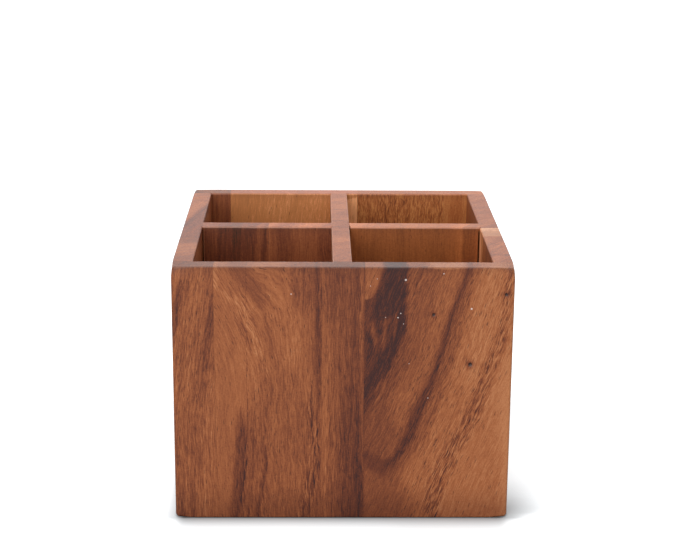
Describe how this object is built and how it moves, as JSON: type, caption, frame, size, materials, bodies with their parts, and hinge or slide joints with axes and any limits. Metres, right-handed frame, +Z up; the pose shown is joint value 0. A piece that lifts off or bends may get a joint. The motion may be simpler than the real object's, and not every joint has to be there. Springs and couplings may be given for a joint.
{
  "type": "cutlery caddy",
  "caption": "Square open-topped wooden caddy with crossed dividers that stand cutlery and utensils upright in separate compartments.",
  "frame": {"origin": "middle of the square that the caddy stands on, level with its lower rim", "axes": "+Z up out of the compartments; +X to the right and +Y to the back as the front board is faced; the front board faces -Y"},
  "size_m": [0.178, 0.178, 0.14],
  "materials": {
    "heartwood": "oiled, fine sanded",
    "brown_acacia": "oiled, fine sanded",
    "red_brown_acacia": "oiled, fine sanded",
    "orange_brown_acacia": "oiled, fine sanded",
    "golden_acacia": "oiled, fine sanded",
    "sapwood": "oiled, fine sanded"
  },
  "bodies": {
    "root": {"front_stave_1": "brown_acacia", "front_stave_2": "orange_brown_acacia", "front_stave_3": "red_brown_acacia", "front_stave_4": "orange_brown_acacia", "back_stave_1": "heartwood", "back_stave_2": "golden_acacia", "back_stave_3": "red_brown_acacia", "back_stave_4": "orange_brown_acacia", "left_side_stave_1": "red_brown_acacia", "left_side_stave_2": "brown_acacia", "left_side_stave_3": "orange_brown_acacia", "right_side_stave_1": "red_brown_acacia", "right_side_stave_2": "sapwood", "right_side_stave_3": "brown_acacia", "centre_divider_stave_1": "brown_acacia", "centre_divider_stave_2": "red_brown_acacia", "centre_divider_stave_3": "brown_acacia", "centre_divider_stave_4": "orange_brown_acacia", "cross_divider_stave_1": "heartwood", "cross_divider_stave_2": "brown_acacia", "cross_divider_stave_3": "orange_brown_acacia", "base_stave_1": "brown_acacia", "base_stave_2": "red_brown_acacia", "base_stave_3": "brown_acacia"}
  },
  "joints": []
}
